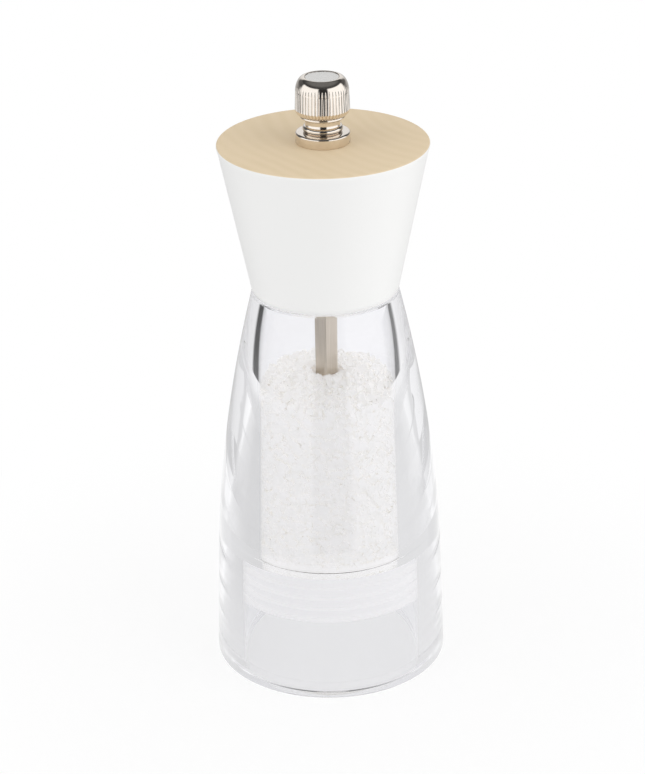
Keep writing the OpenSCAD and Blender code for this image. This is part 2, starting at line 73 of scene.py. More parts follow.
def radii(node, low, high):
    """Smallest and largest distance from the axis, in mm, of a part's points between two heights in mm. The
    band is a hair wider at both ends, so that points on its edges count."""
    mesh = nodes[node].data
    points = np.empty(len(mesh.vertices) * 3)
    mesh.vertices.foreach_get("co", points)
    points = points.reshape(-1, 3) / MM
    inside = (points[:, 2] >= low - HAIR) & (points[:, 2] <= high + HAIR)
    distance = np.hypot(points[inside, 0], points[inside, 1])
    return float(distance.min()), float(distance.max())


def heights(node):
    """Lowest and highest point of a part, in mm."""
    low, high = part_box(node)
    return low.z / MM, high.z / MM


head_low, head_top = heights("head")
knob_top = heights("knob")[1]
neck_top = heights("clear_body")[1]
chamber_low = heights("burr_housing")[1]
shaft_low, shaft_tip = heights("shaft")
print(f"chamber from {chamber_low:.2f}, neck to {neck_top:.2f}, head {head_low:.2f} to {head_top:.2f}, "
      f"knob to {knob_top:.2f} mm")

# %% [markdown]
# ## From an outline to a surface
# A turned surface has two parameters: how far along the outline, and how far round the axis. That makes
# a grid of points, and a grid is easy to skin with four-sided faces. Two things need care. Where the
# outline touches the axis the whole row is one point, so its faces become triangles. And where two rows
# meet at a crease the shading must break, or a flat top would look like a dome.

# %% Skin a grid of points
TINY = 1e-6


def skin(name, grid, loop=False):
    """Makes a mesh from a grid of points (rows, columns, xyz) in mm. Columns always close round; rows close
    too when loop is true. Rows whose points all coincide are drawn as one pole."""
    rows, columns = grid.shape[:2]
    index = np.arange(rows * columns).reshape(rows, columns)
    pole = np.ptp(grid, axis=1).max(axis=1) < TINY
    index[pole] = index[pole][:, :1]
    upper = np.roll(index, -1, axis=0) if loop else index[1:]
    lower = index if loop else index[:-1]
    faces = np.stack([lower, np.roll(lower, -1, 1), np.roll(upper, -1, 1), upper], axis=-1).reshape(-1, 4)
    used, faces = np.unique(faces, return_inverse=True)
    faces = faces.reshape(-1, 4)
    low_pole = faces[:, 0] == faces[:, 1]
    high_pole = faces[:, 2] == faces[:, 3]
    full = faces[~low_pole & ~high_pole].tolist()
    fans = faces[low_pole & ~high_pole][:, [0, 2, 3]].tolist() + faces[high_pole & ~low_pole][:, :3].tolist()
    mesh = bpy.data.meshes.new(name)
    mesh.from_pydata(grid.reshape(-1, 3)[used] * MM, [], full + fans)
    mesh.validate()
    piece = bpy.data.objects.new(name, mesh)
    bpy.context.scene.collection.objects.link(piece)
    return piece


def smooth(piece, crease=35):
    """Shades a piece smoothly, apart from edges where its faces turn by more than crease degrees."""
    piece.data.shade_smooth()
    piece.data.set_sharp_from_angle(angle=math.radians(crease))
    print(f"{piece.name}: {len(piece.data.polygons)} faces")
    return piece


# %% Carry an outline round the axis
def polar(r, a, z):
    """Points at distance r from the axis, at angle a in radians and at height z, given as arrays whose shapes
    fit together: x is the distance times the cosine of the angle, and y the distance times its sine."""
    return np.stack(np.broadcast_arrays(r * np.cos(a), r * np.sin(a), z), axis=-1)


def turned(name, outline, around=256, loop=False, crease=35):
    """Carries an outline of (radius, height) points round the axis. The outline runs up the outside, so that
    faces point outwards. With loop it closes on itself, as the outline of a hollow part does."""
    a = np.linspace(0, 2 * np.pi, around, endpoint=False)
    outline = np.asarray(outline, float)
    return smooth(skin(name, polar(outline[:, :1], a, outline[:, 1:]), loop), crease)


def arc(centre_r, centre_z, wide, high, start, end, steps=8):
    """Points on an ellipse about (centre_r, centre_z), from one angle to another in degrees."""
    a = np.radians(np.linspace(start, end, steps + 1))
    return np.column_stack([centre_r + wide * np.cos(a), centre_z + high * np.sin(a)])


# %% [markdown]
# ## Colours and nodes
# Paint charts and colour pickers give sRGB hex, while a renderer adds light in linear values, so one
# function turns the one into the other. A second function adds a shader node together with its settings
# and its links, and hands back the output that the next node wants. That keeps a material short enough
# to read as a recipe, from the place on the surface down to the shader.

# %% Colour and node helpers
def linear(code):
    """Linear colour of an sRGB hex code: each channel goes through the sRGB curve."""
    channels = np.array([int(code[i:i + 2], 16) for i in (1, 3, 5)]) / 255
    low, high = channels / 12.92, ((channels + 0.055) / 1.055) ** 2.4
    return (*np.where(channels <= 0.04045, low, high).tolist(), 1.0)


def add(tree, kind, sockets=None, take=0, stops=(), **settings):
    """Adds a shader node with its settings, and fills its sockets, by name or by their number among those in
    use, with values or with other nodes' outputs. A ramp gets its stops. One output is handed back, by name
    or by its number among those in use."""
    node = tree.nodes.new("ShaderNode" + kind)
    for key, value in settings.items():
        setattr(node, key, value)
    usable = [socket for socket in node.inputs if socket.enabled]
    for key, value in (sockets or {}).items():
        socket = usable[key] if isinstance(key, int) else next(each for each in usable if each.name == key)
        if isinstance(value, bpy.types.NodeSocket):
            tree.links.new(value, socket)
        else:
            socket.default_value = value
    for number, (position, grey) in enumerate(stops):
        ramp = node.color_ramp.elements
        stop = ramp[number] if number < len(ramp) else ramp.new(position)
        stop.position, stop.color = position, (grey, grey, grey, 1)
    if isinstance(take, str):
        return node.outputs[take]
    return [socket for socket in node.outputs if socket.enabled][take]


def begin(name):
    """A new material, its empty node tree, and the place on the piece that is being shaded."""
    material = bpy.data.materials.new(name)
    material.use_nodes = True
    material.node_tree.nodes.clear()
    return material, material.node_tree, add(material.node_tree, "TexCoord", take="Object")


def dress(material, shader, *pieces):
    """Joins the shader to the material's output, and gives the material to each piece all over."""
    output = material.node_tree.nodes.new("ShaderNodeOutputMaterial")
    material.node_tree.links.new(shader, output.inputs["Surface"])
    for piece in pieces:
        piece.data.materials.clear()
        piece.data.materials.append(material)
    print(f"{material.name}: {len(material.node_tree.nodes)} nodes on {len(pieces)} pieces")


# %% [markdown]
# ## The camera
# The mill is seen from a little above, through a long lens, and the camera leans by one degree. The
# position and the three angles are written down, and the view matrix follows from them: the line of
# sight first, then the direction that is right on the picture, and up as what is square to both.

# %% Set the camera
CAMERA_PLACE = (0.0, -0.5111, 0.306)
CAMERA_PITCH = math.radians(24.97)
CAMERA_YAW = math.radians(-0.119)
CAMERA_ROLL = math.radians(-1.007)
CAMERA_LENS = 112.5

sight = np.array([math.sin(CAMERA_YAW) * math.cos(CAMERA_PITCH),
                  math.cos(CAMERA_YAW) * math.cos(CAMERA_PITCH),
                  -math.sin(CAMERA_PITCH)])
sideways = np.array([math.cos(CAMERA_YAW), -math.sin(CAMERA_YAW), 0])
upright = np.cross(sideways, sight)
right = math.cos(CAMERA_ROLL) * sideways + math.sin(CAMERA_ROLL) * upright
up = math.cos(CAMERA_ROLL) * upright - math.sin(CAMERA_ROLL) * sideways
view = np.eye(4)
view[:3, :4] = np.column_stack([right, up, -sight, CAMERA_PLACE])
camera = bpy.data.objects.new("camera", bpy.data.cameras.new("camera"))
camera.data.lens = CAMERA_LENS
camera.data.clip_start = 0.01
camera.matrix_world = Matrix(view.tolist())
bpy.context.scene.collection.objects.link(camera)
bpy.context.scene.camera = camera
bpy.context.scene.view_settings.view_transform = "Standard"
print("camera looks along", np.round(sight, 3))

# %% [markdown]
# ## How far light is followed
# Light that enters a thick clear wall at a slant is caught in it: it strikes the inner and the outer
# face in turn, and leaves only after ten or twenty reflections. A renderer that gives up sooner draws
# black bands where the real wall is bright, so the paths are allowed to be long. The usual blurring of
# mirror paths after a matt one is turned off too, since it would take a third of the light from
# whatever stands behind the acrylic.

# %% Follow light through thick walls
paths = bpy.context.scene.cycles
paths.max_bounces = 48
paths.diffuse_bounces = 16
paths.glossy_bounces = 40
paths.transmission_bounces = 40
paths.blur_glossy = 0.0
print("light is followed for", paths.max_bounces, "bounces")

# %% [markdown]
# ## The studio
# Clear and polished things are lit by their surroundings. The usual way to photograph glass is bright
# field: white behind and beside it, and a few dark cards out of the frame, which the curved walls
# squeeze into thin dark lines. Here the surroundings are one world shader. Its level goes by direction,
# which is how far round, from behind by the left to behind again, and how high. It also goes by the
# kind of ray that asks, so that each finish gets a studio of its own: the camera sees plain white, matt
# surfaces get an even light, polished metal gets cards and clear walls get panes.

# %% Tell directions apart
world = bpy.data.worlds.new("bright_field")
bpy.context.scene.world = world
world.use_nodes = True
tree = world.node_tree
tree.nodes.clear()
way = add(tree, "SeparateXYZ", {0: add(tree, "TexCoord", take="Generated")}).node.outputs
toward = add(tree, "Math", {0: way["Y"], 1: -1.0}, operation="MULTIPLY")
azimuth = add(tree, "Math", {0: way["X"], 1: toward}, operation="ARCTAN2")
azimuth = add(tree, "MapRange", {"Value": azimuth, "From Min": -math.pi, "From Max": math.pi})
elevation = add(tree, "Math", {0: way["Z"]}, operation="ARCSINE")
elevation = add(tree, "MapRange", {"Value": elevation, "From Min": 0.0, "From Max": math.pi / 2})
kind_of_ray = add(tree, "LightPath").node.outputs


def round_to(*stops):
    """Ramp stops from (degrees round, level) pairs, where 0 is in front, -90 left and 180 behind."""
    return [((degrees + 180) / 360, level) for degrees, level in stops]


def up_to(*stops):
    """Ramp stops from (degrees up, level) pairs, where 0 is the horizon and 90 is overhead."""
    return [(degrees / 90, level) for degrees, level in stops]


print("world:", len(tree.nodes), "nodes tell directions and kinds of ray apart")

# %% [markdown]
# ## Cards for polished metal
# A knob is a small round mirror. It looks like metal because bright and dark meet on it with hard edges:
# a bright card at each side, dark in front, where the camera stands, and dark strips behind the cards.
# A dark lid begins some thirty degrees up, and the top of the knob mirrors that.

# %% Set the cards
FRONT = ((-98, 1.15), (-20, 1.15), (-14, 0.03), (22, 0.03), (28, 1.2), (106, 1.2))
CARD_BLEND = 0.2
LID_LOW, LID_FULL = 27.9, 33.3
low_cards = add(tree, "ValToRGB", {0: azimuth}, stops=round_to(
    (-180, 0.60), (-150, 0.48), (-118, 0.16), *FRONT, (124, 0.20), (150, 0.48), (180, 0.60)))
high_cards = add(tree, "ValToRGB", {0: azimuth}, stops=round_to(
    (-180, 0.90), (-160, 0.80), (-146, 0.12), (-106, 0.08), *FRONT, (114, 0.08), (146, 0.12), (160, 0.80),
    (180, 0.90)))
card_height = add(tree, "MapRange", {"Value": way["Z"], "From Min": 0.0, "From Max": CARD_BLEND})
cards = add(tree, "Mix", {"Factor": card_height, "A": low_cards, "B": high_cards})
lid_share = add(tree, "MapRange", {"Value": elevation, "From Min": LID_LOW / 90, "From Max": LID_FULL / 90})
lid = add(tree, "ValToRGB", {0: elevation}, stops=up_to((0, 0.04), (39.6, 0.05), (55.8, 0.15), (90, 0.17)))
mirror_level = add(tree, "Mix", {"Factor": lid_share, "A": cards, "B": lid})
print("cards for metal under a lid from", LID_LOW, "degrees up")

# %% [markdown]
# ## Panes for clear walls
# A ray that has passed through thick acrylic may leave it in any direction, so a clear wall shows the
# whole studio at once, in thin folds. Below the horizon its panes are nearly white, with a dim strip at
# the left and one in front. Over the horizon the back is a light grey, and from some fifty degrees up a
# dark roof closes the studio. Two low dark slats stand at the back corners. The walls beside the chamber
# squeeze each of them into a dark streak above the salt.

# %% Set the panes
HORIZON_BLEND = 0.05
SLAT_TOP = -0.17
below = add(tree, "ValToRGB", {0: azimuth}, stops=round_to(
    (-180, 0.91), (-140, 0.88), (-104, 0.52), (-84, 0.90), (-18, 0.90), (-11, 0.35), (11, 0.35), (18, 1.0),
    (60, 1.05), (80, 1.2), (100, 1.0), (135, 0.92), (180, 0.94)))
over = add(tree, "ValToRGB", {0: azimuth}, stops=round_to(
    (-180, 0.72), (-105, 0.68), (-75, 0.92), (-18, 0.92), (-11, 0.76), (11, 0.76), (18, 1.0), (75, 1.0),
    (105, 0.74), (180, 0.76)))
roof = add(tree, "ValToRGB", {0: elevation}, stops=up_to((0, 1.0), (46.8, 1.0), (63, 0.05), (90, 0.05)))
over = add(tree, "Math", {0: over, 1: roof}, operation="MULTIPLY")
over_horizon = add(tree, "MapRange", {
    "Value": way["Z"], "From Min": -HORIZON_BLEND, "From Max": HORIZON_BLEND})
clear_level = add(tree, "Mix", {"Factor": over_horizon, "A": below, "B": over})
slats = add(tree, "ValToRGB", {0: azimuth}, stops=round_to(
    (-180, 1.0), (-141, 1.0), (-135, 0.0), (-117, 0.0), (-111, 1.0),
    (98, 1.0), (105, 0.12), (131, 0.12), (138, 1.0)))
low_down = add(tree, "Math", {0: way["Z"], 1: SLAT_TOP}, operation="LESS_THAN")
slats = add(tree, "Mix", {"Factor": low_down, "A": 1.0, "B": slats})
clear_level = add(tree, "Math", {0: clear_level, 1: slats}, operation="MULTIPLY")
print("panes for clear walls with slats below", round(math.degrees(math.asin(SLAT_TOP))), "degrees")

# %% [markdown]
# ## Light for matt surfaces
# Matt surfaces outside get an even light, a trace stronger from the right. The salt and the plastics
# inside are lit through the acrylic, and the panes would light them unevenly. So a ray that has struck
# something matt before it leaves the acrylic gets a level of its own, strongest from behind.

# %% Set the even light and the inner light
EVEN_LEVEL, EVEN_FROM_RIGHT = 0.80, 0.08
INNER_LEVEL, INNER_FROM_RIGHT, INNER_FROM_BEHIND = 1.045, 0.045, 0.19
even_level = add(tree, "Math", {0: way["X"], 1: EVEN_FROM_RIGHT, 2: EVEN_LEVEL}, operation="MULTIPLY_ADD")
inner_level = add(tree, "Math", {0: way["X"], 1: INNER_FROM_RIGHT, 2: INNER_LEVEL}, operation="MULTIPLY_ADD")
inner_level = add(tree, "Math", {0: way["Y"], 1: INNER_FROM_BEHIND, 2: inner_level}, operation="MULTIPLY_ADD")
print("even light", EVEN_LEVEL, "outside,", INNER_LEVEL, "inside")

# %% Choose by the kind of ray
struck_matt = add(tree, "Math", {0: kind_of_ray["Diffuse Depth"], 1: 0.5}, operation="GREATER_THAN")
clear_level = add(tree, "Mix", {"Factor": struck_matt, "A": clear_level, "B": inner_level})
level = add(tree, "Mix", {"Factor": kind_of_ray["Is Glossy Ray"], "A": even_level, "B": mirror_level})
level = add(tree, "Mix", {"Factor": kind_of_ray["Is Transmission Ray"], "A": level, "B": clear_level})
level = add(tree, "Mix", {"Factor": kind_of_ray["Is Camera Ray"], "A": level, "B": 1.0})
backdrop = add(tree, "Background", {"Color": linear("#ffffff"), "Strength": level})
tree.links.new(backdrop, tree.nodes.new("ShaderNodeOutputWorld").inputs["Surface"])
print("world:", len(tree.nodes), "nodes")

# %% [markdown]
# ## Lamps
# Two broad soft lamps shape the matt parts: a strong one high on the right and a weaker one on the left.
# Mirrors and clear walls must not show them, because the world already gives those their cards and panes.

# %% Set the lamps
def soft_lamp(name, place, aim, size, power):
    """A square lamp of the given side and power, which looks from place to aim (metres, watts)."""
    lamp = bpy.data.objects.new(name, bpy.data.lights.new(name, "AREA"))
    lamp.data.size = size
    lamp.data.energy = power
    back = np.array(place) - np.array(aim)
    back = back / np.linalg.norm(back)
    side = np.cross((0, 0, 1), back)
    side = side / np.linalg.norm(side)
    pose = np.eye(4)
    pose[:3, :4] = np.column_stack([side, np.cross(back, side), back, place])
    lamp.matrix_world = Matrix(pose.tolist())
    lamp.visible_camera = False
    lamp.visible_glossy = False
    lamp.visible_transmission = False
    bpy.context.scene.collection.objects.link(lamp)
    print(f"{name}: {power} watts")


LAMP_SIZE = 0.7
MIDDLE = (0, 0, 0.07)
soft_lamp("key_right", (0.6, -0.35, 0.55), MIDDLE, LAMP_SIZE, 1.7)
soft_lamp("fill_left", (-0.6, -0.25, 0.45), MIDDLE, LAMP_SIZE, 1.15)

# %% [markdown]
# ## The floor
# The floor is a small pale disc just under the foot. Its own glow makes it as white as the backdrop, and
# the share of it that is lit instead lets a faint shadow stay under the foot. Rays that come through the
# acrylic see a weaker glow, which differs a little from left to right, so that the clear foot stands
# out from the white. Towards the rim it is less weak, because the wall beside the salt's upper edge shows
# that part of the floor, and would get grey arcs.

# %% Lay the floor
FLOOR_R = 130
FLOOR_GAP = 0.02
floor = turned("floor", [(0, -FLOOR_GAP), (FLOOR_R, -FLOOR_GAP)], around=128)
floor.data.flip_normals()  # an outline that runs outwards gives faces that look down

# %% Mix the white of the floor
SHADOW_R, SHADOW_GLOW = 35, 0.84
OUTER_LOW, OUTER_FULL, OUTER_GLOW = 85, 115, 0.90
ACROSS = 60
sweep, tree, place = begin("white_sweep")
ray = add(tree, "LightPath").node.outputs
seen = add(tree, "Math", {0: ray["Is Camera Ray"], 1: ray["Is Glossy Ray"]}, operation="MAXIMUM")
seen = add(tree, "Math", {0: seen, 1: ray["Is Transmission Ray"]}, operation="MAXIMUM")
far = add(tree, "VectorMath", {0: place}, operation="LENGTH")
glow_share = add(tree, "MapRange", {"Value": far, "From Min": SHADOW_R * MM, "From Max": FLOOR_R * MM,
                                    "To Min": SHADOW_GLOW, "To Max": 1.0}, interpolation_type="SMOOTHSTEP")
glow_share = add(tree, "Math", {0: seen, 1: glow_share}, operation="MULTIPLY")
across = add(tree, "SeparateXYZ", {0: place}, take="X")
across = add(tree, "MapRange", {"Value": across, "From Min": -ACROSS * MM, "From Max": ACROSS * MM})
through = add(tree, "ValToRGB", {0: across}, stops=[(0.0, 0.64), (0.44, 0.80), (0.56, 0.80), (1.0, 0.74)])
outer = add(tree, "MapRange", {"Value": far, "From Min": OUTER_LOW * MM, "From Max": OUTER_FULL * MM},
            interpolation_type="SMOOTHSTEP")
through = add(tree, "Mix", {"Factor": outer, "A": through, "B": OUTER_GLOW})
strength = add(tree, "Mix", {"Factor": ray["Is Transmission Ray"], "A": 1.0, "B": through})
glow = add(tree, "Emission", {"Color": linear("#ffffff"), "Strength": strength})
matt = add(tree, "BsdfDiffuse", {"Color": linear("#f2f2f2")})
dress(sweep, add(tree, "MixShader", {0: glow_share, 1: matt, 2: glow}), floor)

# %% [markdown]
# ## The clear body
# The body is one thick moulding: a heavy foot with a wide bore for the grinder, a chamber above it and
# a neck that the head sits on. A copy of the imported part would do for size, but a clear wall bends the
# view through it, and every flat facet would show as a stripe. So it is worked out again from its
# outline with far more steps. Outside, the wall leans in evenly and then curves in as a parabola. It
# ends in a shoulder that lies the thickness of the slip ring under the head.
#
# Two surfaces in exactly the same place confuse a ray, which may then slip into the next part and come
# back black. Real parts have a film of air between them, so the faces that others rest against stand
# back by AIR, four hundredths of a millimetre.

# %% Work out the clear body
def leaning_wall(z, base_r, draft, bend_z, end_r, end_z):
    """Radius at each height z: a wall that loses draft per mm, less a parabola that begins at bend_z and
    brings it to end_r at end_z."""
    bend = (base_r - draft * end_z - end_r) / (end_z - bend_z) ** 2
    return base_r - draft * z - bend * np.maximum(z - bend_z, 0) ** 2


FOOT_R = 27.5
FOOT_EDGE = 0.8
WALL_START = 3
WALL_DRAFT, WALL_BEND_Z = 0.034, 24
CHAMBER_DRAFT, CHAMBER_BEND_Z = 0.01, 68
BORE_LEAD = 0.5
SLIP_RING_T = 0.3
SHOULDER_Z = head_low - SLIP_RING_T
SHOULDER_EDGE = 0.3
NECK_EDGE = 0.4
CHAMBER_EDGE = 0.12
bore_r = radii("clear_body", BORE_LEAD, BORE_LEAD)[0]
shoulder_r = radii("clear_body", SHOULDER_Z, SHOULDER_Z)[1]
mouth_r = radii("clear_body", neck_top, neck_top)[0]
neck_r = radii("clear_body", neck_top - NECK_EDGE, neck_top - NECK_EDGE)[1]
chamber_r = radii("clear_body", chamber_low, chamber_low)[0]
print(f"radii: bore {bore_r:.2f}, chamber {chamber_r:.2f}, shoulder {shoulder_r:.2f}, neck {neck_r:.2f}, "
      f"mouth {mouth_r:.2f} mm")


def outside_r(z):
    """Radius of the outer wall at height z, in mm."""
    return leaning_wall(z, FOOT_R, WALL_DRAFT, WALL_BEND_Z, shoulder_r, SHOULDER_Z)


def inside_r(z):
    """Radius of the chamber at height z, in mm."""
    return leaning_wall(z - chamber_low, chamber_r, CHAMBER_DRAFT, CHAMBER_BEND_Z - chamber_low,
                        mouth_r, SHOULDER_Z - chamber_low)


# %% Turn the clear body
AIR = 0.04
roof_z = chamber_low + AIR
rim_z = neck_top - AIR
rise = np.linspace(WALL_START, SHOULDER_Z - SHOULDER_EDGE, 80)
fall = np.linspace(SHOULDER_Z, roof_z + CHAMBER_EDGE, 60)
body_outline = np.vstack([
    arc(FOOT_R - FOOT_EDGE, FOOT_EDGE, FOOT_EDGE, FOOT_EDGE, -90, 0, 8),
    np.column_stack([outside_r(rise), rise]),
    arc(shoulder_r - SHOULDER_EDGE, SHOULDER_Z - SHOULDER_EDGE, SHOULDER_EDGE, SHOULDER_EDGE, 15, 90, 6),
    [(neck_r, SHOULDER_Z), (neck_r, rim_z - NECK_EDGE), (neck_r - NECK_EDGE, rim_z), (mouth_r, rim_z)],
    np.column_stack([inside_r(fall), fall])[:-1],
    [(chamber_r, roof_z + CHAMBER_EDGE), (chamber_r + CHAMBER_EDGE, roof_z)],
    [(bore_r, roof_z), (bore_r, BORE_LEAD), (bore_r + BORE_LEAD, 0)]])
body = turned("acrylic_body", body_outline, around=384, loop=True, crease=24)
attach(body, "body")
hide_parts("clear_body")

# %% [markdown]
# ## Cast acrylic
# Acrylic is clearer than glass and bends light almost as much, with an index of 1.49. Thick walls of it
# carry a trace of cold blue. A kitchen mill is handled and wiped, so its polish has a few faint hazy
# patches, a thumb's breadth across and far too weak to blur the salt behind it. Moulding leaves a flow
# in thick walls, which is a very shallow ripple, some centimetres long.

# %% Mix the acrylic
THUMB = 11
FLOW_LENGTH = 36
acrylic, tree, place = begin("cast_acrylic")
handling = add(tree, "TexNoise", {"Vector": place, "Scale": 1 / (THUMB * MM), "Detail": 3.0})
haze = add(tree, "MapRange", {
    "Value": handling, "From Min": 0.55, "From Max": 0.8, "To Min": 0.0, "To Max": 0.015})
flow = add(tree, "TexNoise", {"Vector": place, "Scale": 1 / (FLOW_LENGTH * MM), "Detail": 1.0})
ripple = add(tree, "Bump", {"Height": flow, "Strength": 0.05, "Distance": 0.2 * MM})
dress(acrylic, add(tree, "BsdfPrincipled", {
    "Base Color": linear("#fdfdff"), "Roughness": haze, "IOR": 1.49, "Transmission Weight": 1.0,
    "Normal": ripple}), body)

# %% [markdown]
# ## The salt
# Coarse salt is thousands of broken crystals, blocky and a millimetre or two across. Only the outer
# ones are seen, through the wall and from above, so the heap is built in two parts: a plain core that
# fills the chamber, and a skin of single crystals on its side and top. Each crystal is a small block
# whose corners have been knocked about, and all of them are worked out at once as one array. They stop
# a tenth of a millimetre short of the wall, so that no face of theirs lies in it.

# %% Work out the core of the salt
SALT_LEVEL = 69.5
SALT_HEAP = 1.8
STEEL_R = 2.9
GRAIN = 1.5
WALL_ROOM = 0.12
FLOOR_ROOM = 0.06
CORE_EDGE, CORE_BEND = 0.4, 0.5
SIDE_SKIN, TOP_SKIN = 0.6, 0.7
RIM_WIDE, RIM_HIGH = 1.4, 1.2


def salt_top(r):
    """Height of the heap at radius r: a cosine swell from the wall up to the shaft."""
    share = 1 - np.clip((r - STEEL_R) / (inside_r(SALT_LEVEL) - STEEL_R), 0, 1)
    return SALT_LEVEL + SALT_HEAP * (1 - np.cos(np.pi * share)) / 2


core_z = np.linspace(chamber_low + CORE_BEND, SALT_LEVEL - RIM_HIGH, 40)
core_r = np.linspace(1, 0, 20)[:, None] * (inside_r(SALT_LEVEL) - RIM_WIDE)
core_low = chamber_low + FLOOR_ROOM
core_low_r = chamber_r - WALL_ROOM
core_outline = np.vstack([
    [(0, core_low), (core_low_r, core_low), (core_low_r, chamber_low + CORE_EDGE)],
    np.column_stack([inside_r(core_z) - SIDE_SKIN, core_z]),
    np.hstack([core_r, salt_top(core_r) - TOP_SKIN])])
core = turned("salt_core", core_outline, around=160)
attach(core, "body")
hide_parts("salt_fill")

# %% Shape the crystals
rng = np.random.default_rng(11)
CORNERS = np.array([(x, y, z) for x in (-1, 1) for y in (-1, 1) for z in (-1, 1)], float)
SIDES = np.array([(0, 1, 3, 2), (4, 6, 7, 5), (0, 4, 5, 1), (2, 3, 7, 6), (0, 2, 6, 4), (1, 5, 7, 3)])
SIDE_SHARES = (0.62, 1.15)
CORNER_SHARES = (0.7, 1.1)
GRAIN_LIFT = 0.05


def crystals(name, centres, sizes, keep_in):
    """One mesh of many blocks. Each block's eight corners are scaled by its size and by a random share along
    each side, knocked in or out one by one, turned by a random unit quaternion, moved to the block's centre,
    and then pressed back inside the chamber by keep_in."""
    count = len(centres)
    corner = CORNERS[None] * sizes[:, None, None] / 2 * rng.uniform(*SIDE_SHARES, (count, 1, 3))
    corner = corner * rng.uniform(*CORNER_SHARES, (count, 8, 3))
    q = rng.normal(size=(count, 4))
    w, x, y, z = (q / np.linalg.norm(q, axis=1, keepdims=True)).T
    spin = np.array([[1 - 2 * (y * y + z * z), 2 * (x * y - z * w), 2 * (x * z + y * w)],
                     [2 * (x * y + z * w), 1 - 2 * (x * x + z * z), 2 * (y * z - x * w)],
                     [2 * (x * z - y * w), 2 * (y * z + x * w), 1 - 2 * (x * x + y * y)]]).transpose(2, 0, 1)
    points = keep_in(np.einsum("nij,nkj->nki", spin, corner) + centres[:, None])
    faces = (SIDES[None] + 8 * np.arange(count)[:, None, None]).reshape(-1, 4)
    mesh = bpy.data.meshes.new(name)
    mesh.from_pydata(points.reshape(-1, 3) * MM, [], faces.tolist())
    piece = bpy.data.objects.new(name, mesh)
    bpy.context.scene.collection.objects.link(piece)
    print(f"{name}: {count} crystals")
    return piece


def in_chamber(points):
    """Presses points that lie outside the chamber's wall back to just inside it, and lifts points that lie
    under its floor to just above it."""
    r = np.hypot(points[..., 0], points[..., 1])
    wall = inside_r(np.clip(points[..., 2], chamber_low, SHOULDER_Z)) - WALL_ROOM
    points[..., :2] *= np.minimum(1, wall / np.maximum(r, TINY))[..., None]
    points[..., 2] = np.maximum(points[..., 2], chamber_low + GRAIN_LIFT)
    return points


# %% Line the wall with crystals, more densely at the bottom
SIDE_COUNT, BOTTOM_COUNT = 4900, 700
SIDE_DEPTHS = (0.15, 0.7)
SIDE_SIZES = (0.5, 1.25)
side_low, side_high, bottom_high = chamber_low + 0.1, SALT_LEVEL + 0.2, chamber_low + 1.0
z = np.append(rng.uniform(side_low, side_high, SIDE_COUNT - BOTTOM_COUNT),
              rng.uniform(side_low, bottom_high, BOTTOM_COUNT))
a = rng.uniform(0, 2 * np.pi, SIDE_COUNT)
r = inside_r(z) - WALL_ROOM - rng.uniform(*SIDE_DEPTHS, SIDE_COUNT)
sizes = GRAIN * rng.uniform(*SIDE_SIZES, SIDE_COUNT)
side_grains = crystals("salt_on_wall", polar(r, a, z), sizes, in_chamber)

# %% Heap crystals on top, and bank smaller ones up round the shaft
TOP_COUNT, BANK_COUNT = 1500, 140
TOP_DEPTHS = (0.1, 1.0)
TOP_SIZES = (0.5, 1.3)
BANK_RADII = (3.7, 4.6)
BANK_LIFTS = (0.3, 1.1)
BANK_GRAIN = 0.65
edge_r = inside_r(SALT_LEVEL)
a = rng.uniform(0, 2 * np.pi, TOP_COUNT)
r = np.sqrt(rng.uniform((STEEL_R / edge_r) ** 2, 1, TOP_COUNT)) * (edge_r - SIDE_SKIN)
r[:BANK_COUNT] = rng.uniform(*BANK_RADII, BANK_COUNT)
z = salt_top(r) - rng.uniform(*TOP_DEPTHS, TOP_COUNT)
z[:BANK_COUNT] += rng.uniform(*BANK_LIFTS, BANK_COUNT)
sizes = GRAIN * rng.uniform(*TOP_SIZES, TOP_COUNT)
sizes[:BANK_COUNT] *= BANK_GRAIN
top_grains = crystals("salt_on_top", polar(r, a, z), sizes, in_chamber)
for piece in (side_grains, top_grains):
    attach(piece, "body")

# %% [markdown]
# ## Salt as a material
# A salt crystal is clear, but a heap of them scatters light so often that it looks white, with glints
# where a face happens to catch the light. Tracing light through thousands of clear blocks is slow and
# noisy. A very white body with a glossy face looks the same and renders in a moment. Each crystal gets
# its own tone and its own polish from a cell pattern as coarse as the grains.

# %% Mix the salt
salt, tree, place = begin("coarse_salt")
cell = add(tree, "TexVoronoi", {"Vector": place, "Scale": 1 / (GRAIN * MM)}, take="Color")
cell = add(tree, "SeparateColor", {0: cell})
tone = add(tree, "Mix", {0: cell, 1: linear("#fcfbf8"), 2: linear("#fffefc")}, data_type="RGBA")
polish = add(tree, "MapRange", {"Value": cell, "To Min": 0.3, "To Max": 0.6})
dress(salt, add(tree, "BsdfPrincipled", {"Base Color": tone, "Roughness": polish, "IOR": 1.544}),
      core, side_grains, top_grains)

# %% [markdown]
# ## The head
# The head is beech, turned to a cone that widens upwards, painted matt white on the side and left bare
# on top. It is hollow below, to fit over the neck. One outline draws the whole of it, and one material
# carries both finishes, divided just below the upper edge, where the paint stops.

